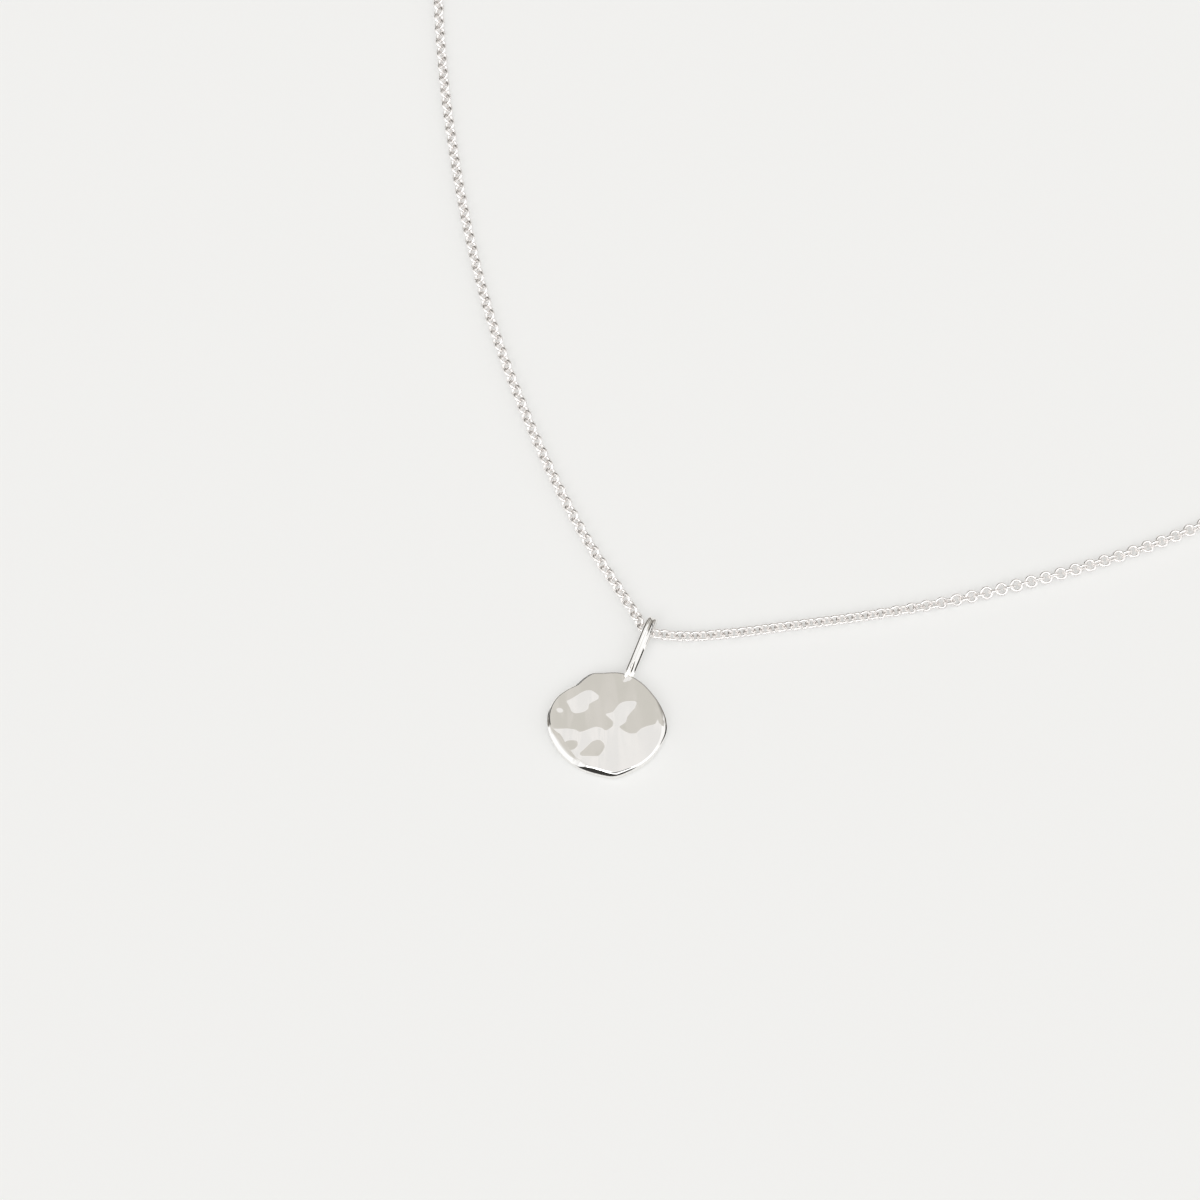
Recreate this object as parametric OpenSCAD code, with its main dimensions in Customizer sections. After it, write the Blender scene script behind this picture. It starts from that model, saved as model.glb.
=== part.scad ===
// A small hammered disc pendant on a fine chain, lying on a flat surface as it was laid down.
// Millimetres. +X is to the right, +Y away from the wearer's chest side, +Z up from the surface.

/* [Disc] */
// Width of the disc, square to the bail
disc_w = 11.9; // [9:0.1:15]
// Thickness of the disc
disc_t = 1.24; // [1:0.02:1.6]
// Width of the bevel round the face
bevel_w = 0.35; // [0.2:0.05:0.5]
// Depth of the deepest hammer mark
mark_depth = 0.12; // [0.02:0.01:0.2]

/* [Bail] */
// Thickness of the bail's wire
bail_wire = 0.46; // [0.4:0.02:0.6]
// Distance from the disc's centre to the centre of the bail's bow
bail_reach = 11.45; // [10:0.05:14]
// Radius of the bow, to the middle of the wire
bow_r = 1; // [1:0.05:1.4]
// Distance of each leg from the disc's middle plane at the bail's waist
waist_r = 0.66; // [0.5:0.02:0.8]
// Sideways shift of each leg, the upper one to the left and the lower one to the right
leg_shift = 0.14; // [0:0.02:0.2]
// Turn of the bail on the disc
bail_turn = 1.9; // [-5:0.1:5]

/* [Chain] */
// Outer width of the chain
chain_d = 1.4; // [1:0.1:1.4]

/* [Clasp] */
// Outer width of the clasp's ring
ring_d = 5.5; // [4.5:0.1:7]
// Thickness of the ring's wire
ring_wire = 1.1; // [0.8:0.1:1.3]
// Outer width of the soldered eye
eye_d = 1.8; // [1.6:0.1:2.4]
// Thickness of the eye's wire
eye_wire = 0.5; // [0.4:0.05:0.6]

/* [Lie] */
// Turn of the pendant on the surface, seen from above
pendant_turn = -23; // [-35:1:-10]
// Turn of the clasp on the surface, seen from above
clasp_turn = -29; // [-35:1:-20]

/* [Hidden] */

SILVER = "#d9d8d4";
TUBE_SIDES = 8;     // sides of the chain's tube
WIRE_SIDES = 10;    // sides of the bail's wire
RING_STEP = 5.6;    // longest stretch between two rings of the chain's tube
EDGE_STEPS = 3;     // steps between two points of the disc's outline
LEG_STEPS = 2;      // steps between two points of a leg
BOW_STEP = 20;      // degrees between two rings of the bow
SEAT = 0.1;         // gap between the chain's ends and the clasp

// The disc's outline, x and y, left of the bail first, for a disc OUTLINE_W wide, where the bail
// leaves along +y
OUTLINE_W = 11.9;
OUTLINE = [
    [0.0, 5.55], [-0.9, 5.4], [-2.3, 4.8], [-3.3, 4.3], [-3.8, 3.6], [-4.2, 2.7],
    [-4.95, 1.75], [-5.6, 0.5], [-5.7, -1.2], [-5.1, -2.8], [-4.0, -4.05], [-2.4, -5.1],
    [-0.6, -5.6], [1.6, -5.55], [3.2, -5.15], [4.3, -4.15], [5.6, -2.2], [6.1, -0.2],
    [6.05, 1.4], [5.6, 2.4], [4.53, 3.58], [3.2, 4.53], [1.55, 5.32],
];
// The rim's section from the back to the face: inset from the outline, part of half the thickness
RIM = [[0.3, -1], [0.08, -0.8], [0, -0.35], [0, 0.25], [0.08, 0.62]];
// Rings of the face inside the bevel, as parts of the bevel ring
FACE = [0.84, 0.67, 0.5, 0.33, 0.16];
// Hammer marks on the face: x, y, radius, part of the deepest mark's depth
MARKS = [
    [-3.0, 1.2, 2.3, 1.0],
    [1.2, 1.3, 2.0, 0.9],
    [-1.2, -2.9, 2.4, 1.0],
    [3.5, -0.4, 2.2, 0.8],
    [-4.1, -1.7, 1.8, 0.7],
    [0.0, 4.0, 2.2, 0.6],
    [3.1, 3.0, 1.9, 0.7],
    [2.1, -3.6, 2.3, 0.8],
    [-0.9, -0.5, 1.6, 0.6],
];
// A leg of the bail: distance along it from the disc's centre, as parts of its reach, and distance
// from the disc's middle plane between the waist, 0, and the bow, 1
LEG = [[0.44, 0.15], [0.50, 0.25], [0.58, 0.15], [0.70, 0.0], [0.82, 0.2], [0.92, 0.75]];
// Where the bail's middle line crosses the disc's edge, and part of the legs' shift left at the bow
FOOT = [0.11, 5];
BOW_SHIFT = 0.6;

// The chain's route round the neck, from the clasp's eye to the bail and back to the clasp's ring:
// x and y on the surface from under the bail's bow, and how far the chain is lifted off the surface
FIRST_SIDE = [
    [56, 138.5, 0], [40, 140.9, 0], [24, 138.7, 0], [9.5, 132.7, 0], [-3.2, 123.1, 0],
    [-13.4, 109.9, 0], [-19.8, 94.7, 0], [-22.1, 79.7, 0], [-21.6, 67.7, 0], [-20.3, 56.7, 0],
    [-18.2, 44.7, 0], [-15.9, 35.2, 0], [-12.9, 26, 0], [-9.4, 17, 0], [-5.8, 9.5, 0],
    [-3.4, 5.3, 0.05], [-1.6, 2.1, 0.25],
];
BOW = [-0.05, -0.47, 0.53];
OTHER_SIDE = [
    [1.7, -0.77, 0.32], [4, -0.77, 0.05], [7.5, -0.5, 0], [14, 0.4, 0], [22, 1.6, 0],
    [30, 3.2, 0], [38, 5.3, 0], [46, 7.8, 0], [53.5, 10.7, 0], [62, 15.1, 0],
    [73, 22.7, 0], [83.8, 32.9, 0], [92.6, 45.7, 0], [98.4, 59.7, 0], [101, 75.1, 0],
    [100, 91.7, 0], [94.4, 107.5, 0], [85, 120.7, 0],
];
CLASP_AT = [70, 132.5];

// Length of each stretch between the points of a list
function spans(v) = [for (i = [0:len(v) - 2]) norm(v[i + 1] - v[i])];
// Direction from each point of a list to the next
function slopes(v) = [for (i = [0:len(v) - 2]) (v[i + 1] - v[i]) / norm(v[i + 1] - v[i])];
// Direction of the curve at each point of a list
function tangents(v, h, s) = [
    for (i = [0:len(v) - 1])
        i == 0 ? s[0]
        : i == len(v) - 1 ? s[i - 1]
        : (h[i - 1] * s[i] + h[i] * s[i - 1]) / (h[i - 1] + h[i])
];
// Point at part t of the stretch from a to b, which leaves along u and arrives along w
function bend(a, b, u, w, h, t) =
    (2 * t * t * t - 3 * t * t + 1) * a + (t * t * t - 2 * t * t + t) * h * u
    + (3 * t * t - 2 * t * t * t) * b + (t * t * t - t * t) * h * w;
// Smooth curve through a list of points, with no step longer than the one given
function curve(v, step, least = 1) =
    let (h = spans(v), s = slopes(v), d = tangents(v, h, s))
    [
        for (i = [0:len(v) - 2])
            let (n = max(least, ceil(h[i] / step)))
            for (k = [0:n - 1]) bend(v[i], v[i + 1], d[i], d[i + 1], h[i], k / n),
        v[len(v) - 1],
    ];
// The same through a closed list, with a number of steps between two points
function closed_curve(v, steps) =
    let (n = len(v))
    let (round_v = [for (i = [-1:n + 1]) v[(i + n) % n]])
    let (h = spans(round_v), s = slopes(round_v), d = tangents(round_v, h, s))
    [
        for (i = [1:n], k = [0:steps - 1])
            bend(round_v[i], round_v[i + 1], d[i], d[i + 1], h[i], k / steps)
    ];
function unit(v) = v / norm(v);
function lowest(v, axis) = min([for (p = v) p[axis]]);
function highest(v, axis) = max([for (p = v) p[axis]]);

// The disc's outline at its real size
disc_edge = closed_curve([for (p = OUTLINE) p * disc_w / OUTLINE_W], EDGE_STEPS);
half_t = disc_t / 2;
// The bail's bow and the disc's back edge both touch the surface, so the pendant leans a little
bow_out = bow_r + bail_wire / 2;
back_y = lowest(disc_edge, 1) + RIM[0][0];
foot_to_bow = norm([bail_reach - back_y, half_t]);
lean = asin(bow_out / foot_to_bow) - atan2(half_t, bail_reach - back_y);

// Sideways place of the bail's middle line
function bail_x(y) = FOOT[0] - (y - FOOT[1]) * tan(bail_turn);

// A pendant point's place on the surface, from under the bail's bow
function laid(p) =
    let (x = p[0] - bail_x(bail_reach))
    let (y = (p[1] - bail_reach) * cos(lean) - p[2] * sin(lean))
    let (z = (p[1] - bail_reach) * sin(lean) + p[2] * cos(lean))
    [
        x * cos(pendant_turn) - y * sin(pendant_turn),
        x * sin(pendant_turn) + y * cos(pendant_turn),
        z + bow_out,
    ];

// The tube lies on a flat of its section
tube_r = chain_d / 2;
tube_z = tube_r * cos(180 / TUBE_SIDES);
along_clasp = [cos(clasp_turn), sin(clasp_turn)];
eye_at = -ring_d / 2 - eye_d / 2 + eye_wire;
first_end = CLASP_AT + along_clasp * (eye_at - eye_d / 2 - SEAT);
other_end = CLASP_AT + along_clasp * (ring_d / 2 + SEAT);
route = [
    [first_end[0], first_end[1], 0],
    each FIRST_SIDE,
    BOW,
    each OTHER_SIDE,
    [other_end[0], other_end[1], 0],
];
chain_path = curve([for (p = route) p + [0, 0, tube_z]], RING_STEP);

// Middle of the whole necklace on the surface, where the origin is
laid_edge = [for (p = disc_edge) laid([p[0], p[1], 0])];
middle = [
    (lowest(chain_path, 0) + highest(chain_path, 0)) / 2,
    (lowest(laid_edge, 1) + highest(chain_path, 1) + tube_z) / 2,
    0,
];

// A tube of triangles along a path, each ring square to it and turned to the side axis
module tube(path, r, sides, side_axis, first_corner) {
    n = len(path);
    rings = [
        for (i = [0:n - 1])
            let (t = unit(path[min(i + 1, n - 1)] - path[max(i - 1, 0)]))
            let (u = unit(cross(side_axis, t)))
            let (w = cross(t, u))
            for (j = [0:sides - 1])
                let (a = first_corner + 360 * j / sides)
                path[i] + r * (cos(a) * u + sin(a) * w)
    ];
    walls = [
        for (i = [0:n - 2], j = [0:sides - 1])
            let (a = i * sides + j, b = i * sides + (j + 1) % sides)
            each [[a, a + sides, b], [b, a + sides, b + sides]]
    ];
    first_cap = [for (j = [0:sides - 1]) j];
    last_cap = [for (j = [0:sides - 1]) n * sides - 1 - j];
    polyhedron(rings, [first_cap, each walls, last_cap]);
}

// Height of the hammered face at a place
function dip(p, mark) =
    let (reach = norm([p[0] - mark[0], p[1] - mark[1]]) / mark[2])
    reach < 1 ? -mark_depth * mark[3] * pow(1 - reach * reach, 2) : 0;
function face_z(p) = half_t + [for (mark = MARKS) dip(p, mark)] * [for (mark = MARKS) 1];

// The hammered disc, with a flat back, a rounded edge and a bevel up to the face
module disc() {
    n = len(disc_edge);
    rim = [for (row = RIM, p = disc_edge) [each p * (1 - row[0] / norm(p)), row[1] * half_t]];
    face = [
        for (part = [1, each FACE], p = disc_edge)
            let (q = p * part * (1 - bevel_w / norm(p)))
            [q[0], q[1], face_z(q)]
    ];
    points = [each rim, each face, [0, 0, face_z([0, 0])]];
    rings = len(RIM) + len(FACE) + 1;
    back = [for (j = [0:n - 1]) j];
    walls = [
        for (i = [0:rings - 2], j = [0:n - 1])
            let (a = i * n + j, b = i * n + (j + 1) % n)
            each [[a, a + n, b], [b, a + n, b + n]]
    ];
    top = (rings - 1) * n;
    crown = [for (j = [0:n - 1]) [top + j, rings * n, top + (j + 1) % n]];
    polyhedron(points, [back, each walls, each crown]);
}

// A point of the upper leg, before the bail's turn
function leg_point(p) = [
    -leg_shift * (1 - (1 - BOW_SHIFT) * p[1]),
    p[0] * bail_reach,
    waist_r + p[1] * (bow_r - waist_r),
];

// The long loop of wire, whose two legs close on the disc's edge
module bail() {
    leg = [for (p = LEG) leg_point(p)];
    bow = [
        for (a = [90:-BOW_STEP:-90])
            [-leg_shift * BOW_SHIFT * sin(a), bail_reach + bow_r * cos(a), bow_r * sin(a)]
    ];
    half = curve([each leg, bow[0]], bail_reach, LEG_STEPS);
    upper = [for (i = [0:len(half) - 2]) half[i]];
    lower = [for (i = [len(half) - 2:-1:0]) [-half[i][0], half[i][1], -half[i][2]]];
    straight = [each upper, each bow, each lower];
    path = [for (p = straight) [p[0] + bail_x(p[1]), p[1], p[2]]];
    tube(path, bail_wire / 2, WIRE_SIDES, [1, 0, 0], 0);
}

// Drops of solder where the legs meet the disc
module solder() {
    for (side = [-1, 1])
        translate([
            bail_x(LEG[0][0] * bail_reach) - side * leg_shift,
            LEG[0][0] * bail_reach,
            side * (half_t - bail_wire / 4),
        ])
            sphere(r = bail_wire * 0.8, $fn = 32);
}

module pendant() {
    color(SILVER)
        translate([0, 0, bow_out] - middle)
            rotate([0, 0, pendant_turn])
                rotate([lean, 0, 0])
                    translate([-bail_x(bail_reach), -bail_reach, 0]) {
                        disc();
                        bail();
                        solder();
                    }
}

module chain() {
    color(SILVER)
        translate(-middle)
            tube(chain_path, tube_r, TUBE_SIDES, [0, 0, 1], 180 / TUBE_SIDES);
}

// A plain ring with a soldered eye, lying on the surface
module clasp() {
    color(SILVER)
        translate([CLASP_AT[0], CLASP_AT[1], ring_wire / 2] - middle)
            rotate([0, 0, clasp_turn]) {
                rotate_extrude($fn = 48)
                    translate([(ring_d - ring_wire) / 2, 0])
                        circle(d = ring_wire, $fn = 24);
                translate([eye_at, 0, 0])
                    rotate_extrude($fn = 48)
                        translate([(eye_d - eye_wire) / 2, 0])
                            circle(d = eye_wire, $fn = 24);
            }
}

pendant();
chain();
clasp();
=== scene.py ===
import math

import bpy
import numpy as np
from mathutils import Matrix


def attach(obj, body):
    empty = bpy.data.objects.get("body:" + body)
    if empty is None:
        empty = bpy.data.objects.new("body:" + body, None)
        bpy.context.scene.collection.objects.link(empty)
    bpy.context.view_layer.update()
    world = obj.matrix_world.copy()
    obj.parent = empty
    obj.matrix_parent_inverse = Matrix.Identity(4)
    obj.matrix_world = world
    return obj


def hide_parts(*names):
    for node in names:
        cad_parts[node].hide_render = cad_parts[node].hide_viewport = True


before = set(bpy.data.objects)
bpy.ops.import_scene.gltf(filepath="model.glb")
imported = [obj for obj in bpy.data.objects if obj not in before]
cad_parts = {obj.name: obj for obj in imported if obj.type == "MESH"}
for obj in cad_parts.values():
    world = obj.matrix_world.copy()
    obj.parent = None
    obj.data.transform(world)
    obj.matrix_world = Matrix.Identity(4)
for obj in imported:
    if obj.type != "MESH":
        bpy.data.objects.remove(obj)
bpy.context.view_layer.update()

# Everything below is in millimetres from the disc's own centre or from the surface, as in the part's
# source, and becomes metres when a mesh is made.
MM = 0.001

# Sizes of the pendant, repeated from the part's source
DISC_T = 1.24
BAIL_WIRE = 0.46
BAIL_REACH = 11.45
BOW_R = 1.0
LEG_SHIFT = 0.14
BAIL_TURN = 1.9
BAIL_FOOT = (0.11, 5.0)
PENDANT_TURN = -23.0
LEAN = 2.08161
BACK_ROUND = 0.22

# The bail's two wires: height of the first along its front and over its bow, and the other one's shift
# to the right and down from it
FIRST_WIRE = [
    [4.9, 0.15], [5.2, 0.33], [5.5, 0.51], [5.8, 0.65], [6.1, 0.70], [7.5, 0.74], [9.0, 0.83],
    [10.2, 0.93], [10.7, 0.97], [10.95, 0.965], [11.3, 0.92], [11.7, 0.80], [12.05, 0.62],
    [12.3, 0.36], [12.42, 0.12], [12.45, 0.0],
]
OTHER_WIRE = [
    [5.0, 0.52, 0.267], [8.6, 0.52, 0.267], [9.1, 0.53, 0.20], [10.2, 0.53, 0.20], [10.6, 0.52, 0.26],
    [11.4, 0.52, 0.24], [11.8, 0.52, 0.17], [12.45, 0.48, 0.08],
]

# Solder between them: place across and tilt of its surface, as seen from the front, and the groove
# left open in it towards both ends, by place along, place across and depth, with its sides' slopes
SOLDER_TILTS = [
    [0.045, 0.20], [0.12, 0.27], [0.165, 0.32], [0.18, -0.32], [0.215, -0.32], [0.235, 0.14],
    [0.32, 0.22], [0.42, 0.28], [0.50, 0.36], [0.58, 0.45], [0.61, 0.55], [0.71, 0.60], [0.74, 0.64],
]
GROOVE = [
    [5.0, 0.24, 0.16], [6.3, 0.24, 0.155], [6.8, 0.25, 0.10], [7.3, 0.27, 0.0], [9.9, 0.45, 0.0],
    [10.5, 0.42, 0.06], [10.9, 0.33, 0.14], [11.3, 0.29, 0.16], [12.45, 0.26, 0.16],
]
GROOVE_SIDES = (1.2, 0.577)
SOLDER_FOOT = 5.35
SOLDER_COLUMNS = 60
SOLDER_DEPTH = 0.15
FRONT_LEAN = 10.8
WIRE_STEPS = 8
WIRE_SIDES = 28

# Middle of the whole necklace's box, seen from the place under the bail's bow
MIDDLE = np.array([39.5012, 62.4927, 0.0])

# Outline of the disc, counter-clockwise, with the bail along +y
OUTLINE = [
    [0.0, 5.55], [-0.9, 5.4], [-2.3, 4.8], [-3.3, 4.3], [-3.8, 3.6], [-4.2, 2.7],
    [-4.95, 1.75], [-5.6, 0.5], [-5.7, -1.2], [-5.1, -2.8], [-4.0, -4.05], [-2.4, -5.1],
    [-0.6, -5.6], [1.6, -5.55], [3.2, -5.15], [4.3, -4.15], [5.6, -2.2], [6.1, -0.2],
    [6.05, 1.4], [5.6, 2.4], [4.53, 3.58], [3.2, 4.53], [1.55, 5.32],
]
EDGE_STEPS = 16
CORNER_STEPS = 6
FACE_RINGS = 84
BACK_RINGS = 18
PAST_RIDGE = 0.25
BACK_CORNER = 1.4 * BACK_ROUND

# Rim of the disc by direction: degrees round from +x, then the section from the wall to the face as
# depth of the wall's top, inset and depth of two corners, inset of the ridge, and rounding of the
# wall's top, of the two corners and of the ridge. A rounding takes up to its share of the line before
# its corner and of the line after it.
RIM = [
    [0, 0.18, 0.07, 0.12, 0.16, 0.05, 0.28, 0.05, 0.10, 0.15],
    [12, 0.30, 0.14, 0.17, 0.32, 0.06, 0.52, 0.04, 0.25, 0.40],
    [23, 0.33, 0.16, 0.19, 0.38, 0.06, 0.62, 0.03, 0.30, 0.50],
    [34, 0.22, 0.12, 0.12, 0.24, 0.05, 0.38, 0.03, 0.20, 0.30],
    [46, 0.085, 0.055, 0.047, 0.09, 0.03, 0.15, 0.03, 0.10, 0.15],
    [69, 0.065, 0.05, 0.036, 0.08, 0.022, 0.13, 0.03, 0.10, 0.15],
    [113, 0.085, 0.075, 0.045, 0.10, 0.025, 0.16, 0.03, 0.10, 0.15],
    [145, 0.12, 0.10, 0.055, 0.13, 0.03, 0.19, 0.03, 0.10, 0.15],
    [157, 0.13, 0.10, 0.060, 0.13, 0.035, 0.18, 0.03, 0.10, 0.12],
    [180, 0.17, 0.12, 0.075, 0.15, 0.035, 0.21, 0.03, 0.08, 0.12],
    [196, 0.19, 0.13, 0.08, 0.16, 0.04, 0.25, 0.03, 0.08, 0.12],
    [208, 0.21, 0.15, 0.085, 0.20, 0.045, 0.35, 0.03, 0.12, 0.20],
    [213, 0.24, 0.16, 0.10, 0.26, 0.05, 0.50, 0.03, 0.12, 0.20],
    [217, 0.30, 0.17, 0.15, 0.34, 0.07, 0.70, 0.03, 0.15, 0.20],
    [221, 0.46, 0.16, 0.30, 0.42, 0.10, 0.94, 0.10, 1.20, 0.10],
    [226, 0.52, 0.17, 0.36, 0.47, 0.11, 1.00, 0.35, 1.60, 0.06],
    [232, 0.52, 0.17, 0.36, 0.46, 0.11, 0.97, 0.40, 1.60, 0.06],
    [240, 0.51, 0.18, 0.35, 0.45, 0.10, 0.90, 0.40, 1.60, 0.06],
    [250, 0.50, 0.20, 0.31, 0.40, 0.10, 0.78, 0.25, 1.00, 0.08],
    [257, 0.48, 0.12, 0.37, 0.40, 0.12, 0.62, 0.08, 0.20, 0.10],
    [264, 0.47, 0.06, 0.395, 0.36, 0.14, 0.55, 0.03, 0.08, 0.12],
    [271, 0.45, 0.22, 0.17, 0.36, 0.055, 0.46, 0.05, 0.08, 0.12],
    [279, 0.44, 0.32, 0.06, 0.37, 0.03, 0.44, 0.05, 0.08, 0.12],
    [290, 0.42, 0.29, 0.08, 0.35, 0.04, 0.42, 0.05, 0.08, 0.12],
    [297, 0.38, 0.22, 0.12, 0.30, 0.07, 0.38, 0.05, 0.06, 0.08],
    [304, 0.28, 0.10, 0.15, 0.24, 0.10, 0.33, 0.05, 0.05, 0.04],
    [308, 0.27, 0.13, 0.12, 0.25, 0.08, 0.31, 0.05, 0.05, 0.04],
    [318, 0.22, 0.10, 0.11, 0.19, 0.07, 0.26, 0.04, 0.04, 0.06],
    [324, 0.14, 0.05, 0.10, 0.11, 0.05, 0.18, 0.04, 0.04, 0.06],
    [345, 0.13, 0.05, 0.09, 0.10, 0.045, 0.17, 0.04, 0.04, 0.06],
]
CORNER_SHARES = [(0.48, 0.48), (0.48, 0.35), (0.6, 0.38), (0.6, 0.8), (0.18, 0.48)]

# Outlines of the facets that tip to the lower right, and of two that don't, as seen on the face
FACET_LEFT = [
    (-4.4, 0.45), (-4.0, 1.0), (-3.5, 1.8), (-3.1, 2.3), (-2.6, 2.5), (-2.1, 2.4), (-1.7, 2.2),
    (-1.65, 1.85), (-2.0, 1.4), (-2.25, 1.05), (-2.1, 0.5), (-2.3, 0.1), (-2.7, -0.2),
    (-3.1, -0.45), (-3.5, -0.45), (-3.75, -0.15), (-4.05, 0.2),
]
FACET_SPECK = [(-5.05, -0.7), (-4.8, -0.5), (-4.5, -0.5), (-4.3, -0.7), (-4.4, -0.95), (-4.75, -1.05)]
FACET_LOWER = [
    (-7.0, -4.2), (-4.6, -2.95), (-4.1, -2.75), (-3.35, -2.4), (-2.45, -2.1), (-1.85, -2.15),
    (-1.4, -1.8), (-1.05, -1.4), (-0.6, -1.05), (0.0, -0.95), (0.35, -1.1), (0.6, -1.0),
    (0.9, -0.4), (0.75, 0.1), (0.45, 0.3), (-0.3, 0.6), (0.1, 0.9), (0.35, 1.15), (0.4, 1.6),
    (0.5, 2.15), (0.85, 2.6), (1.3, 2.85), (1.85, 3.1), (2.1, 3.05), (2.2, 2.4), (1.95, 1.6),
    (1.9, 1.2), (2.0, 0.6), (1.6, -0.15), (2.1, -0.35), (2.8, -0.45), (3.4, -0.2), (3.65, 0.5),
    (4.05, 0.95), (4.45, 1.25), (4.8, 1.5), (4.6, 2.5), (4.3, 3.25), (4.55, 3.3), (4.95, 2.5),
    (5.2, 1.7), (8.0, 2.6), (8.0, -8.0), (-8.0, -8.0),
]
FACET_NOT_F = [
    (-2.8, -3.8), (-2.6, -3.5), (-2.2, -3.3), (-1.8, -3.2), (-1.6, -3.6), (-1.6, -4.0),
    (-1.8, -4.3), (-2.0, -4.5),
]
FACET_NOT_G = [
    (-0.9, -4.35), (-0.6, -3.5), (-0.3, -2.65), (0.1, -2.25), (0.4, -2.2), (0.75, -2.4),
    (1.0, -2.75), (1.05, -3.3), (0.95, -3.9), (-0.7, -4.5),
]

# How far each kind of facet tips, and how soft its edge is; the direction down which they tip
FACET_TIP = 0.024
ISLAND_TIP = 0.036
HOLE_TIP = -0.045
FACET_SOFT = 0.07
FACET_DOWN = -67.0
RELIEF_SIZE = 16.0
RELIEF_CELLS = 320
RELIEF_FREE = 0.02
RELIEF_STIFF = 0.0006
FACE_SINK = 0.1

# Solder round the foot of the bail: half width, half height, top, and waves of its outline as count,
# size and start
SOLDER_WIDE = 0.72
SOLDER_HIGH = 0.78
SOLDER_TOP = 0.045
SOLDER_WAVES = [(3, 0.20, 0.4), (7, 0.10, 1.0)]
FOOT_Y = 0.44 * BAIL_REACH
SOLDER_MIDDLE_Y = FOOT_Y + 0.45

# Route of the chain: x and y from under the bail's bow, and lift off the surface
FIRST_SIDE = [
    [56, 138.5, 0], [40, 140.9, 0], [24, 138.7, 0], [9.5, 132.7, 0], [-3.2, 123.1, 0],
    [-13.4, 109.9, 0], [-19.8, 94.7, 0], [-22.1, 79.7, 0], [-21.6, 67.7, 0], [-20.3, 56.7, 0],
    [-18.2, 44.7, 0], [-15.9, 35.2, 0], [-12.9, 26, 0], [-9.4, 17, 0], [-5.8, 9.5, 0],
    [-3.4, 5.3, 0.05], [-1.6, 2.1, 0.25],
]
BOW = [-0.05, -0.47, 0.53]
OTHER_SIDE = [
    [1.7, -0.77, 0.32], [4, -0.77, 0.05], [7.5, -0.5, 0], [14, 0.4, 0], [22, 1.6, 0],
    [30, 3.2, 0], [38, 5.3, 0], [46, 7.8, 0], [53.5, 10.7, 0], [62, 15.1, 0],
    [73, 22.7, 0], [83.8, 32.9, 0], [92.6, 45.7, 0], [98.4, 59.7, 0], [101, 75.1, 0],
    [100, 91.7, 0], [94.4, 107.5, 0], [85, 120.7, 0],
]
CLASP_AT = [70, 132.5]

# Links of the chain: wire, pitch, and steps round the ring and round its wire
CHAIN_D = 1.4
LINK_WIRE = 0.3
LINK_PITCH = 0.79
FINE_LINK = (22, 9)
PLAIN_LINK = (20, 8)
FINE_REACH = 115.0
ROUTE_STEP = 0.1
END_REACH = 3.0

# Height of the links inside the bow, and how far along the chain they sink back to the surface
BOW_LIFT = 0.647
BOW_SPREAD = 3.0

# Roll of the links about the chain's way, by distance from its start, from the bow and from its end
START_ROLLS = [[0, 90], [6, 90], [30, 45]]
BOW_ROLLS = [[-14, 50], [-4, 58], [0, 65], [4, 73], [12, 73], [22, 70], [29, 58], [35, 32], [46, 6]]
END_ROLLS = [[-60, 6]]
LAST_HELD = 6.0

# Bolt ring: its tongue closes the gap in the ring, and the eye overlaps the ring
CLASP_TURN = -29.0
RING_D = 5.5
RING_WIRE = 1.1
RING_STEPS = 90
TONGUE_WIRE = 0.46
TONGUE_HALF = 24.0
TONGUE_HIDDEN = 2.0
TONGUE_STEPS = 16
TONGUE_LIFT = 0.03
LIP_ROUND = (0.09, 0.02)
LIP_TURN = 1.2
EYE_D = 1.8
EYE_WIRE = 0.44
EYE_OVERLAP = 0.5
EYE_STEPS = (36, 14)
HOOK_SLACK = 0.02
KNOB_AT = 52.0
KNOB_OUT = [0.3, 0.5, 0.68, 0.8, 0.86, 0.88]
KNOB_R = [0.2, 0.2, 0.24, 0.22, 0.14, 0.03]
KNOB_SIDES = 20


# Curves, as in the part's source

def tangents(points):
    """Lengths between points, and the way through each of them."""
    legs = np.linalg.norm(np.diff(points, axis=0), axis=1)
    slopes = np.diff(points, axis=0) / legs[:, None]
    inner = legs[:-1, None] * slopes[1:] + legs[1:, None] * slopes[:-1]
    inner = inner / (legs[:-1] + legs[1:])[:, None]
    return legs, np.vstack([slopes[:1], inner, slopes[-1:]])


def bend(a, b, u, w, length, t):
    """Points at the parts t of a smooth span from a, along u, to b, along w."""
    t = np.asarray(t)[:, None]
    return (
        (2 * t**3 - 3 * t**2 + 1) * a + (t**3 - 2 * t**2 + t) * length * u
        + (3 * t**2 - 2 * t**3) * b + (t**3 - t**2) * length * w
    )


def curve(points, steps):
    """An open curve through points, with steps for each span, or a rule that gives them."""
    points = np.array(points, float)
    legs, ways = tangents(points)
    spans = []
    for i, length in enumerate(legs):
        n = steps(length) if callable(steps) else steps
        spans.append(bend(points[i], points[i + 1], ways[i], ways[i + 1], length, np.arange(n) / n))
    return np.vstack([*spans, points[-1:]])


def closed_curve(points, steps):
    points = np.array(points, float)
    ring = np.vstack([points[-1:], points, points[:2]])
    legs, ways = tangents(ring)
    part = np.arange(steps) / steps
    return np.vstack([
        bend(ring[i], ring[i + 1], ways[i], ways[i + 1], legs[i], part)
        for i in range(1, len(points) + 1)
    ])


def bail_x(y):
    """Sideways place of the bail's middle line."""
    return BAIL_FOOT[0] - (y - BAIL_FOOT[1]) * math.tan(math.radians(BAIL_TURN))


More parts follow.
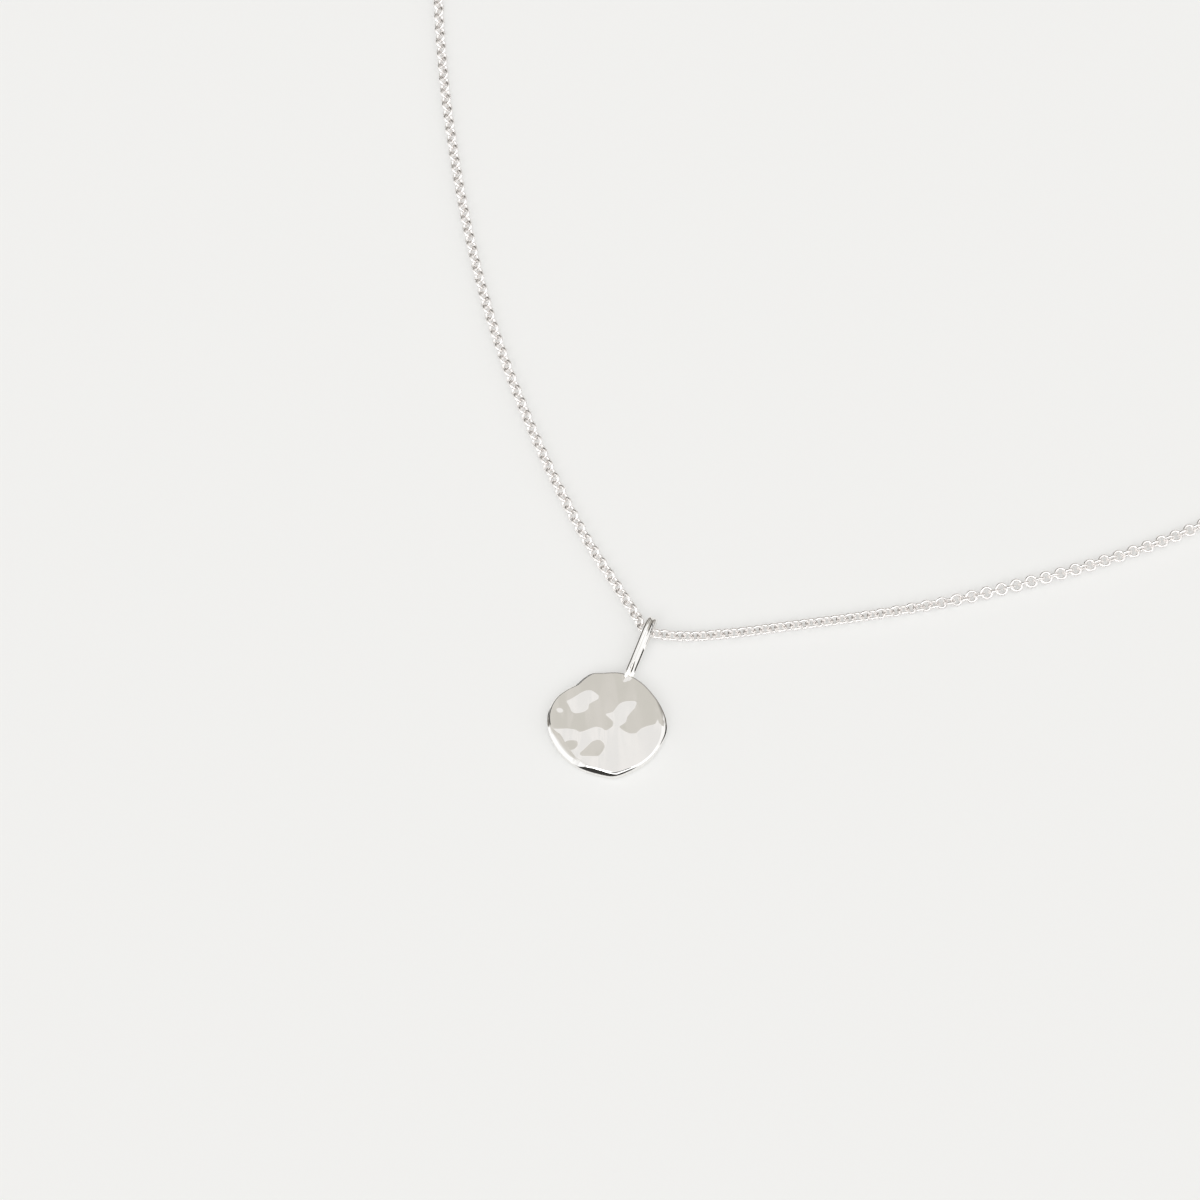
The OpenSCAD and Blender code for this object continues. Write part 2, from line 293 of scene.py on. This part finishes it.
def laid(points):
    """Places points of the pendant where it lies, in the shared frame."""
    points = np.atleast_2d(points)
    lean, turn = math.radians(LEAN), math.radians(PENDANT_TURN)
    x, y, z = points[:, 0] - bail_x(BAIL_REACH), points[:, 1] - BAIL_REACH, points[:, 2]
    out, up = y * math.cos(lean) - z * math.sin(lean), y * math.sin(lean) + z * math.cos(lean)
    return np.stack([
        x * math.cos(turn) - out * math.sin(turn),
        x * math.sin(turn) + out * math.cos(turn),
        up + BOW_R + BAIL_WIRE / 2,
    ], 1) - MIDDLE


# Meshes

class Shape:
    """Points and faces of one piece, gathered from several parts."""

    def __init__(self):
        self.points, self.faces, self.count = [], [], 0

    def add(self, points, faces):
        self.points.append(np.asarray(points, float))
        self.faces.extend([[v + self.count for v in face] for face in faces])
        self.count += len(points)

    def piece(self, name, node, material):
        mesh = bpy.data.meshes.new(name)
        mesh.from_pydata((np.vstack(self.points) * MM).tolist(), [], self.faces)
        mesh.shade_smooth()
        mesh.materials.append(material)
        obj = bpy.data.objects.new(name, mesh)
        bpy.context.scene.collection.objects.link(obj)
        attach(obj, "root")
        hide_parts(node)
        return obj


def grid_faces(rows, columns, closed_rows=False):
    """Quads between rows of points, each row a closed ring."""
    faces = []
    for i in range(rows if closed_rows else rows - 1):
        a, b = i * columns, (i + 1) % rows * columns
        for j in range(columns):
            k = (j + 1) % columns
            faces.append([a + j, b + j, b + k, a + k])
    return faces


def unit(v):
    return v / np.linalg.norm(v, axis=-1, keepdims=True)


def tube(path, radii, sides, side_axis):
    """A round bar along a path, with a radius at each of its points."""
    path = np.asarray(path, float)
    radii = np.broadcast_to(radii, len(path))
    ways = unit(np.vstack([path[1:2] - path[:1], path[2:] - path[:-2], path[-1:] - path[-2:-1]]))
    u = unit(np.cross(side_axis, ways))
    w = np.cross(ways, u)
    a = 2 * math.pi * np.arange(sides) / sides
    rings = path[:, None] + radii[:, None, None] * (
        np.cos(a)[None, :, None] * u[:, None] + np.sin(a)[None, :, None] * w[:, None]
    )
    faces = [face[::-1] for face in grid_faces(len(path), sides)]
    last = (len(path) - 1) * sides
    faces.append(list(range(sides))[::-1])
    faces.append([last + j for j in range(sides)])
    return rings.reshape(-1, 3), faces


def torus(centre, way, side, ring_r, wire_r, around, sides):
    """A ring whose plane holds the two directions way and side."""
    a = 2 * math.pi * np.arange(around) / around
    b = 2 * math.pi * np.arange(sides) / sides
    out = np.cos(a)[:, None] * way + np.sin(a)[:, None] * side
    axis = np.cross(way, side)
    rings = out[:, None] * (ring_r + wire_r * np.cos(b))[None, :, None]
    rings = rings + axis * (wire_r * np.sin(b))[None, :, None]
    return rings.reshape(-1, 3) + centre, grid_faces(around, sides, closed_rows=True)


# Relief of the hammered face

def inside(outline, x, y):
    """Where places lie inside an outline."""
    found = np.zeros(x.shape, bool)
    for (x0, y0), (x1, y1) in zip(outline, outline[1:] + outline[:1]):
        if y0 != y1:
            crosses = (y0 > y) != (y1 > y)
            found ^= crosses & (x < (x1 - x0) * (y - y0) / (y1 - y0) + x0)
    return found


def hammered():
    """A height field whose facets tip along one direction, and stay as level as they can across it."""
    at = ((np.arange(RELIEF_CELLS) + 0.5) / RELIEF_CELLS - 0.5) * RELIEF_SIZE
    x, y = np.meshgrid(at, at)
    tip = np.where(inside(FACET_LOWER, x, y), FACET_TIP, -FACET_TIP)
    tip[inside(FACET_NOT_F, x, y) | inside(FACET_NOT_G, x, y)] = HOLE_TIP
    tip[inside(FACET_LEFT, x, y) | inside(FACET_SPECK, x, y)] = ISLAND_TIP
    wave = 2 * math.pi * np.fft.fftfreq(RELIEF_CELLS, RELIEF_SIZE / RELIEF_CELLS)
    kx, ky = np.meshgrid(wave, wave)
    all_k = kx**2 + ky**2
    wanted = np.fft.fft2(-tip) * np.exp(-0.5 * all_k * FACET_SOFT**2)
    down = math.radians(FACET_DOWN)
    along = kx * math.cos(down) + ky * math.sin(down)
    across = ky * math.cos(down) - kx * math.sin(down)
    weight = along**2 + RELIEF_FREE * across**2 + RELIEF_STIFF * all_k**2
    weight[0, 0] = 1
    height = -1j * along * wanted / weight
    height[0, 0] = 0
    return np.real(np.fft.ifft2(height))


RELIEF = hammered()
HALF_T = DISC_T / 2


def relief(x, y):
    """Smooth height of the relief at any place, from the four by four cells round it."""
    u = (np.asarray(x) / RELIEF_SIZE + 0.5) * RELIEF_CELLS - 0.5
    v = (np.asarray(y) / RELIEF_SIZE + 0.5) * RELIEF_CELLS - 0.5
    i, j = np.floor(u).astype(int), np.floor(v).astype(int)
    s, t = u - i, v - j

    def weights(f):
        return [
            ((-f + 2) * f - 1) * f / 2, ((3 * f - 5) * f * f + 2) / 2,
            ((-3 * f + 4) * f + 1) * f / 2, (f - 1) * f * f / 2,
        ]

    total = 0
    for dj, wy in enumerate(weights(t)):
        for di, wx in enumerate(weights(s)):
            row, column = (j + dj - 1) % RELIEF_CELLS, (i + di - 1) % RELIEF_CELLS
            total = total + wx * wy * RELIEF[row, column]
    return total


def mound(x, y):
    """The fillet of solder round the foot of the legs, with the uneven outline of solder that ran."""
    right, up = x - bail_x(FOOT_Y), y - SOLDER_MIDDLE_Y
    round_it = np.arctan2(up, right)
    uneven = 1 + sum(size * np.sin(count * round_it + start) for count, size, start in SOLDER_WAVES)
    reach = np.hypot(right / SOLDER_WIDE, up / SOLDER_HIGH) / uneven
    return SOLDER_TOP * (1 - np.clip(reach, 0, 1) ** 2) ** 2


def face_z(x, y):
    """Height of the face, with its relief and the solder on it."""
    return HALF_T - FACE_SINK + relief(x, y) + mound(x, y)


def rim_at(angles):
    """The rim's sizes at each direction, in degrees, one column for each size."""
    table = np.array(RIM, float)
    turn = np.zeros(table.shape[1])
    turn[0] = 360
    table = np.vstack([table[-1:] - turn, table, table[:1] + turn])
    return np.stack([np.interp(angles, table[:, 0], column) for column in table.T[1:]], 1)


def rounded(corners, radii, steps):
    """Lines through corners, an array of direction by corner by two, with the inner ones rounded."""
    rows = [corners[:, 0]]
    t = np.linspace(0, 1, steps + 1)
    for i in range(1, corners.shape[1] - 1):
        before, at, after = corners[:, i - 1], corners[:, i], corners[:, i + 1]
        to, past = unit(at - before), unit(after - at)
        bend_by = np.arccos(np.clip((to * past).sum(1), -1, 1))
        leg = radii[:, i - 1] * np.tan(bend_by / 2)
        share, rest = CORNER_SHARES[i - 1]
        first = np.minimum(leg, share * np.linalg.norm(at - before, axis=1))[:, None]
        second = np.minimum(leg, rest * np.linalg.norm(after - at, axis=1))[:, None]
        rows.extend(
            (1 - k) ** 2 * (at - to * first) + 2 * k * (1 - k) * at + k**2 * (at + past * second)
            for k in t
        )
    rows.append(corners[:, -1])
    return rows


def disc(shape):
    """The disc in rows from the middle of its back round the rim to the middle of its face."""
    edge = closed_curve(OUTLINE, EDGE_STEPS)
    n = len(edge)
    way = unit(edge)
    deep0, in1, deep1, in2, deep2, ridge, r0, r12, r3 = rim_at(
        np.degrees(np.arctan2(way[:, 1], way[:, 0])) % 360
    ).T
    zero = np.zeros(n)
    ridge_xy, face_xy = edge - way * ridge[:, None], edge - way * (ridge + PAST_RIDGE)[:, None]
    top = face_z(ridge_xy[:, 0], ridge_xy[:, 1])
    corners = np.stack([
        [zero + BACK_CORNER, zero - HALF_T], [zero, zero - HALF_T], [zero, top - deep0],
        [in1, top - deep1], [in2, top - deep2], [ridge, top],
        [ridge + PAST_RIDGE, face_z(face_xy[:, 0], face_xy[:, 1])],
    ]).transpose(2, 0, 1)
    radii = np.stack([zero + BACK_ROUND, r0, r12, r12, r3], 1)
    rows = [
        np.column_stack([edge - way * section[:, :1], section[:, 1]])
        for section in rounded(corners, radii, CORNER_STEPS)
    ]
    for k in range(1, FACE_RINGS):
        xy = face_xy * (1 - k / FACE_RINGS)
        rows.append(np.column_stack([xy, face_z(xy[:, 0], xy[:, 1])]))
    back_start = rows[0][:, :2]
    back = [
        np.column_stack([back_start * (1 - k / (BACK_RINGS + 1)), zero - HALF_T])
        for k in range(BACK_RINGS, 0, -1)
    ]
    rows = back + rows
    for row in rows[:len(back) + 1]:
        row[:, 2] -= mound(row[:, 0], row[:, 1])
    points = np.vstack([*rows, [[0, 0, face_z(0.0, 0.0)]], [[0, 0, -HALF_T]]])
    faces = [face[::-1] for face in grid_faces(len(rows), n)]
    crown, last = len(rows) * n, (len(rows) - 1) * n
    for j in range(n):
        k = (j + 1) % n
        faces.append([last + j, last + k, crown])
        faces.append([k, j, crown + 1])
    shape.add(laid(points), faces)


def bail(shape):
    """The bail's two wires over the bow, the lower legs mirrored from the upper ones, and the solder."""
    front = curve([[-LEG_SHIFT, y, z] for y, z in FIRST_WIRE], WIRE_STEPS)
    part = np.linspace(0, 1, len(front) - 1)[:, None]
    back = front[-2::-1] * [1, 1, -1] - [2 * LEG_SHIFT, 0, 0] * part
    stops, right, down = np.array(OTHER_WIRE).T
    shift = np.stack([
        np.interp(front[:, 1], stops, right), 0 * front[:, 1], -np.interp(front[:, 1], stops, down),
    ], 1)
    first = np.vstack([front, back])
    other = first + np.vstack([shift, 0 * back + shift[-1]])
    for path in (first, other):
        path[:, 0] += bail_x(path[:, 1])
        points, faces = tube(path, BAIL_WIRE / 2, WIRE_SIDES, [1.0, 0.0, 0.0])
        shape.add(laid(points), faces)
    solder(shape, first[:len(front)])


def solder(shape, path):
    """The solder between the two wires, with a groove left open in it towards both ends."""
    stops, tilts = np.array(SOLDER_TILTS).T
    place = np.linspace(stops[0], stops[-1], SOLDER_COLUMNS)
    tilt = np.interp(place, stops, tilts)
    fall = tilt / np.sqrt(1 - tilt**2)
    drop = np.concatenate([[0], np.cumsum((fall[1:] + fall[:-1]) / 2 * np.diff(place))])
    crown = math.sqrt((BAIL_WIRE / 2) ** 2 - stops[0] ** 2)
    flush = (crown - drop)[None]
    keep = path[:, 1] > SOLDER_FOOT
    path = path[keep]
    along, across_at, depth = np.array(GROOVE).T
    valley = np.interp(path[:, 1], along, across_at)[:, None]
    bottom = np.interp(valley, place, flush[0]) - np.interp(path[:, 1], along, depth)[:, None]
    off = place[None] - valley
    level = np.minimum(flush, bottom + np.where(off > 0, GROOVE_SIDES[1] * off, -GROOVE_SIDES[0] * off))
    low = np.minimum(level[:, -1:], level[:, :1]) - SOLDER_DEPTH
    level = np.hstack([level, low, low])[:, :, None]
    place = np.concatenate([place, [stops[-1], stops[0]]])[None, :, None]
    lean = math.radians(FRONT_LEAN)
    right = np.array([1.0, 0.0, 0.0])
    out = unit(np.cross(right, np.gradient(path, axis=0)))[:, None]
    across = math.cos(lean) * right - math.sin(lean) * out
    toward = math.sin(lean) * right + math.cos(lean) * out
    points = path[:, None] + place * across + level * toward
    faces = [face[::-1] for face in grid_faces(len(path), place.shape[1])]
    shape.add(laid(points.reshape(-1, 3)), faces)


# Chain of real links

def chain_route():
    """The line through the links, from the clasp's eye through the bail to the clasp's ring."""
    way = np.array([math.cos(math.radians(CLASP_TURN)), math.sin(math.radians(CLASP_TURN))])
    hook = CHAIN_D / 2 - LINK_WIRE
    eye_end = -RING_D / 2 - EYE_D + EYE_OVERLAP
    first = np.array(CLASP_AT) + way * (eye_end + EYE_WIRE - hook + HOOK_SLACK)
    last = np.array(CLASP_AT) + way * ((RING_D - RING_WIRE) / 2 + hook - TONGUE_WIRE / 2 - HOOK_SLACK)
    points = [
        [*first, 0], [*(first - way * END_REACH), 0], *FIRST_SIDE, BOW, *OTHER_SIDE,
        [*(last + way * END_REACH), 0], [*last, 0],
    ]
    return curve(points, lambda length: max(2, math.ceil(length / ROUTE_STEP)))


def links(shape):
    """Round links along the route, each turned a quarter against the last."""
    route = chain_route()
    legs = np.linalg.norm(np.diff(route, axis=0), axis=1)
    along = np.concatenate([[0], np.cumsum(legs)])
    bow_at = along[np.argmin(np.linalg.norm(route[:, :2] - BOW[:2], axis=1))]
    count = math.ceil(along[-1] / LINK_PITCH) + 1
    stops = np.linspace(0, along[-1], count)
    centres = np.stack([np.interp(stops, along, route[:, k]) for k in range(3)], 1)
    ways = unit(np.gradient(centres, axis=0))
    from_bow = stops - bow_at
    last_roll = 90.0 if count % 2 else 0.0
    end = along[-1]
    known = np.array([
        *START_ROLLS, *[[bow_at + far, roll] for far, roll in BOW_ROLLS],
        *[[end + far, roll] for far, roll in END_ROLLS], [end - LAST_HELD, last_roll], [end, last_roll],
    ])
    rolls = np.interp(stops, known[:, 0], known[:, 1])
    ring_r, wire_r = (CHAIN_D - LINK_WIRE) / 2, LINK_WIRE / 2
    for i in range(count):
        roll = math.radians(rolls[i] + 90.0 * (i % 2))
        way = ways[i]
        level = unit(np.cross([0.0, 0.0, 1.0], way))
        up = np.cross(way, level)
        side = math.cos(roll) * level + math.sin(roll) * up
        rest = ring_r * max(abs(math.cos(roll)), abs(math.sin(roll))) + wire_r
        near = max(0.0, 1 - abs(from_bow[i]) / BOW_SPREAD)
        centre = centres[i] + [0, 0, rest + near * (BOW_LIFT - rest)] - MIDDLE
        fine = abs(from_bow[i]) < FINE_REACH
        shape.add(*torus(centre, way, side, ring_r, wire_r, *(FINE_LINK if fine else PLAIN_LINK)))
    return count


# Clasp

def bolt_ring(shape):
    """The clasp: a ring with a tongue across its gap, an eye and a knob."""
    turn = math.radians(CLASP_TURN)
    ring_r, wire_r = (RING_D - RING_WIRE) / 2, RING_WIRE / 2
    centre = np.array([*CLASP_AT, wire_r]) - MIDDLE

    def placed(points):
        x, y, z = points[:, 0], points[:, 1], points[:, 2]
        return centre + np.stack([
            x * math.cos(turn) - y * math.sin(turn), x * math.sin(turn) + y * math.cos(turn), z,
        ], 1)

    def bar(path, radii, sides):
        points, faces = tube(path, radii, sides, [0.0, 0.0, 1.0])
        shape.add(placed(points), faces)

    def arc(angles, lift):
        a = np.radians(angles)
        return np.stack([ring_r * np.cos(a), ring_r * np.sin(a), np.full(len(a), lift)], 1)

    body = np.full(RING_STEPS, wire_r)
    body[0] = body[-1] = wire_r - LIP_ROUND[0]
    body[1] = body[-2] = wire_r - LIP_ROUND[1]
    angles = np.linspace(TONGUE_HALF, 360 - TONGUE_HALF, RING_STEPS)
    angles[1], angles[-2] = TONGUE_HALF + LIP_TURN, 360 - TONGUE_HALF - LIP_TURN
    bar(arc(angles, 0.0), body, WIRE_SIDES)
    reach = TONGUE_HALF + TONGUE_HIDDEN
    bar(arc(np.linspace(-reach, reach, TONGUE_STEPS), TONGUE_LIFT), TONGUE_WIRE / 2, WIRE_SIDES)
    eye_at = np.array([-RING_D / 2 - EYE_D / 2 + EYE_OVERLAP, 0, 0])
    right, away = np.array([1.0, 0, 0]), np.array([0, 1.0, 0])
    points, faces = torus(eye_at, right, away, (EYE_D - EYE_WIRE) / 2, EYE_WIRE / 2, *EYE_STEPS)
    shape.add(placed(points), faces)
    knob = math.radians(KNOB_AT)
    out = np.array([math.cos(knob), math.sin(knob), 0])
    bar(np.array([out * (ring_r + far) for far in KNOB_OUT]), KNOB_R, KNOB_SIDES)


# Shader helpers

def math_node(tree, operation, a, b=0.0):
    node = tree.nodes.new("ShaderNodeMath")
    node.operation = operation
    for socket, value in zip(node.inputs, (a, b)):
        if isinstance(value, (int, float)):
            socket.default_value = value
        else:
            tree.links.new(value, socket)
    return node.outputs[0]


def noise(tree, scale, detail):
    place = tree.nodes.new("ShaderNodeTexCoord")
    texture = tree.nodes.new("ShaderNodeTexNoise")
    texture.inputs["Scale"].default_value = scale
    texture.inputs["Detail"].default_value = detail
    tree.links.new(place.outputs["Object"], texture.inputs["Vector"])
    return texture.outputs["Fac"]


# Scale and detail of the noise in the silver's tone, its polish and its ripple, and the ripple's height
TONE_NOISE = (900.0, 2.0)
POLISH_NOISE = (1500.0, 4.0)
RIPPLE_NOISE = (700.0, 1.0)
RIPPLE_HEIGHT = 0.00002
DULL_SHARE = 0.97


def silver(name, tone, rough_low, rough_high, ripple_share):
    """Polished silver, a little uneven in tone, polish and level."""
    material = bpy.data.materials.new(name)
    material.use_nodes = True
    tree = material.node_tree
    shader = tree.nodes["Principled BSDF"]
    shader.inputs["Metallic"].default_value = 1.0
    colour = tree.nodes.new("ShaderNodeValToRGB")
    colour.color_ramp.elements[0].color = (*[t * DULL_SHARE for t in tone], 1)
    colour.color_ramp.elements[1].color = (*tone, 1)
    tree.links.new(noise(tree, *TONE_NOISE), colour.inputs["Fac"])
    tree.links.new(colour.outputs["Color"], shader.inputs["Base Color"])
    rough = tree.nodes.new("ShaderNodeMapRange")
    rough.inputs["To Min"].default_value = rough_low
    rough.inputs["To Max"].default_value = rough_high
    tree.links.new(noise(tree, *POLISH_NOISE), rough.inputs["Value"])
    tree.links.new(rough.outputs["Result"], shader.inputs["Roughness"])
    ripple = tree.nodes.new("ShaderNodeBump")
    ripple.inputs["Strength"].default_value = ripple_share
    ripple.inputs["Distance"].default_value = RIPPLE_HEIGHT
    tree.links.new(noise(tree, *RIPPLE_NOISE), ripple.inputs["Height"])
    tree.links.new(ripple.outputs["Normal"], shader.inputs["Normal"])
    return material


# Pieces
disc_silver = silver("polished_silver", (0.93, 0.92, 0.90), 0.02, 0.05, 0.05)
link_silver = silver("drawn_silver_wire", (1.0, 0.975, 0.96), 0.22, 0.32, 0.08)

pendant = Shape()
disc(pendant)
bail(pendant)
pendant.piece("moon_disc_and_bail", "pendant", disc_silver)
cable = Shape()
link_count = links(cable)
cable.piece("cable_links", "chain", link_silver)
clasp = Shape()
bolt_ring(clasp)
clasp.piece("bolt_ring", "clasp", link_silver)

# Surface it lies on, in metres: a matt white board lit a little from below
FLOOR_SIDE = 3.0
FLOOR_Z = -1e-5
BOARD_WHITE = (0.54, 0.54, 0.536)
BOARD_GLOW = 0.353
floor_mesh = bpy.data.meshes.new("surface")
corner = FLOOR_SIDE / 2
floor_mesh.from_pydata(
    [(x * corner, y * corner, FLOOR_Z) for x, y in ((-1, -1), (1, -1), (1, 1), (-1, 1))], [], [[0, 1, 2, 3]]
)
floor = bpy.data.objects.new("surface", floor_mesh)
bpy.context.scene.collection.objects.link(floor)
paper = bpy.data.materials.new("matt_white_board")
paper.use_nodes = True
paper_shader = paper.node_tree.nodes["Principled BSDF"]
paper_shader.inputs["Base Color"].default_value = (*BOARD_WHITE, 1)
paper_shader.inputs["Roughness"].default_value = 0.9
paper_shader.inputs["Specular IOR Level"].default_value = 0.0
paper_shader.inputs["Emission Color"].default_value = (1.0, 1.0, 0.98, 1)
paper_shader.inputs["Emission Strength"].default_value = BOARD_GLOW
floor_mesh.materials.append(paper)

# Room round the surface: windows, ceiling and dark walls, as panels of light
world = bpy.data.worlds.new("studio")
bpy.context.scene.world = world
world.use_nodes = True
room = world.node_tree
room.nodes.clear()
direction = room.nodes.new("ShaderNodeTexCoord").outputs["Generated"]


def pointing(azimuth, elevation):
    a, e = math.radians(azimuth), math.radians(elevation)
    return np.array([math.cos(a) * math.cos(e), math.sin(a) * math.cos(e), math.sin(e)])


def dot(vector):
    node = room.nodes.new("ShaderNodeVectorMath")
    node.operation = "DOT_PRODUCT"
    room.links.new(direction, node.inputs[0])
    node.inputs[1].default_value = [float(v) for v in vector]
    return node.outputs["Value"]


def step(value, low, high):
    node = room.nodes.new("ShaderNodeMapRange")
    node.interpolation_type = "SMOOTHSTEP"
    room.links.new(value, node.inputs["Value"])
    node.inputs["From Min"].default_value = low
    node.inputs["From Max"].default_value = high
    return node.outputs["Result"]


ELEVATION = math_node(room, "MULTIPLY", math_node(room, "ARCSINE", dot((0, 0, 1))), 180 / math.pi)


def panel(azimuth, half_wide, low, high, soft):
    """1 inside a stretch of the room's wall seen in those directions, 0 outside, in degrees."""
    off = math_node(room, "ARCTAN2", dot(pointing(azimuth + 90, 0)), dot(pointing(azimuth, 0)))
    off = math_node(room, "MULTIPLY", math_node(room, "ABSOLUTE", off), 180 / math.pi)
    wide = math_node(room, "SUBTRACT", 1.0, step(off, half_wide - soft, half_wide + soft))
    above = step(ELEVATION, low - soft, low + soft)
    below = math_node(room, "SUBTRACT", 1.0, step(ELEVATION, high - soft, high + soft))
    return math_node(room, "MULTIPLY", math_node(room, "MULTIPLY", wide, above), below)


def lay(under, over, mask):
    """One colour laid over another where the mask is 1."""
    node = room.nodes.new("ShaderNodeMix")
    node.data_type = "RGBA"
    room.links.new(mask, node.inputs[0])
    for socket, value in ((node.inputs[6], under), (node.inputs[7], over)):
        if isinstance(value, tuple):
            socket.default_value = (*value, 1)
        else:
            room.links.new(value, socket)
    return node.outputs[2]


BEIGE = (0.715, 0.69, 0.65)
OLIVE = (0.66, 0.64, 0.595)
BROWN = (0.42, 0.40, 0.37)
LOW = (0.20, 0.185, 0.165)
PALE = (0.95, 0.93, 0.915)
GREY_PALE = (0.87, 0.86, 0.85)
WHITE = (1.02, 1.01, 1.0)
RIGHT_WHITE = (1.04, 1.04, 1.04)
NEAR_LIGHT = (1.5, 1.5, 1.5)
SIDE = (1.05, 1.04, 1.03)
WINDOW = (1.13, 1.13, 1.13)
RIGHT_WINDOW = (1.2, 1.2, 1.2)
LAMP = (3.9, 3.9, 3.9)
DARK = (0.05, 0.048, 0.045)
BACKDROP = (0.888, 0.888, 0.872)

# The wall's tone: beige that darkens downwards, with soft clouds in it and a dark doorway
clouds = room.nodes.new("ShaderNodeTexNoise")
clouds.inputs["Scale"].default_value = 14.0
clouds.inputs["Detail"].default_value = 1.5
room.links.new(direction, clouds.inputs["Vector"])
mottle = step(clouds.outputs["Fac"], 0.35, 0.65)
wall = lay(BROWN, lay(BEIGE, OLIVE, mottle), step(ELEVATION, 24.0, 58.0))
wall = lay(LOW, wall, step(ELEVATION, 4.0, 24.0))
wall = lay(wall, DARK, panel(127, 24, -20, 54, 4))

# The pale ceiling, whose edge is where the level face mirrors it, and which brightens to the near side
LEVEL_MIRROR = (93.6, 66.84)
near, right = dot((0, -1, 0)), dot((1, 0, 0))
edge = -float(pointing(*LEVEL_MIRROR)[1])
over = math_node(room, "MULTIPLY", step(near, edge + 0.001, edge + 0.009), step(right, -0.26, -0.21))
pale = lay(lay(PALE, GREY_PALE, mottle), WHITE, step(near, edge + 0.09, edge + 0.16))
pale = lay(pale, RIGHT_WHITE, step(right, 0.2, 0.38))
pale = lay(pale, NEAR_LIGHT, step(near, -0.05, 0.1))
sky = lay(wall, pale, over)
sky = lay(sky, SIDE, math_node(room, "MULTIPLY", step(right, 0.7, 0.8), step(ELEVATION, 6.0, 12.0)))

# The windows at both sides, the left one fading upwards, the lamp, and two dark doorways
left_fade = math_node(room, "SUBTRACT", 1.0, step(ELEVATION, 28.0, 62.0))
sky = lay(sky, WINDOW, panel(199.5, 33.5, -20, 36, 3))
sky = lay(sky, WINDOW, math_node(room, "MULTIPLY", panel(193, 32, 36, 70, 4), left_fade))
sky = lay(sky, LAMP, panel(242, 15, 30, 62, 5))
sky = lay(sky, RIGHT_WINDOW, panel(-32, 24, -20, 50, 4))
sky = lay(sky, DARK, panel(12, 18, -20, 19, 2))
sky = lay(sky, DARK, panel(-93, 45, -20, 28, 4))

# What the camera sees past the board is plain
background = room.nodes.new("ShaderNodeBackground")
rays = room.nodes.new("ShaderNodeLightPath")
seen = lay(sky, BACKDROP, rays.outputs["Is Camera Ray"])
room.links.new(seen, background.inputs["Color"])
background.inputs["Strength"].default_value = 1.0
output = room.nodes.new("ShaderNodeOutputWorld")
room.links.new(background.outputs["Background"], output.inputs["Surface"])
bpy.context.scene.view_settings.view_transform = "Standard"

# Camera at the photograph's angle
CAMERA_RISE = 62.0
CAMERA_FAR = 658.6
LENS = 195.0
SENSOR = 36.0
LOOK_AT = (-44.437, -58.721, 0.0)
rise = math.radians(CAMERA_RISE)
camera = bpy.data.objects.new("camera", bpy.data.cameras.new("camera"))
camera.data.lens = LENS
camera.data.sensor_width = SENSOR
camera.data.clip_start = 0.01
camera.location = (
    LOOK_AT[0] * MM,
    (LOOK_AT[1] - CAMERA_FAR * math.cos(rise)) * MM,
    CAMERA_FAR * math.sin(rise) * MM,
)
camera.rotation_euler = (math.pi / 2 - rise, 0, 0)
bpy.context.scene.collection.objects.link(camera)
bpy.context.scene.camera = camera
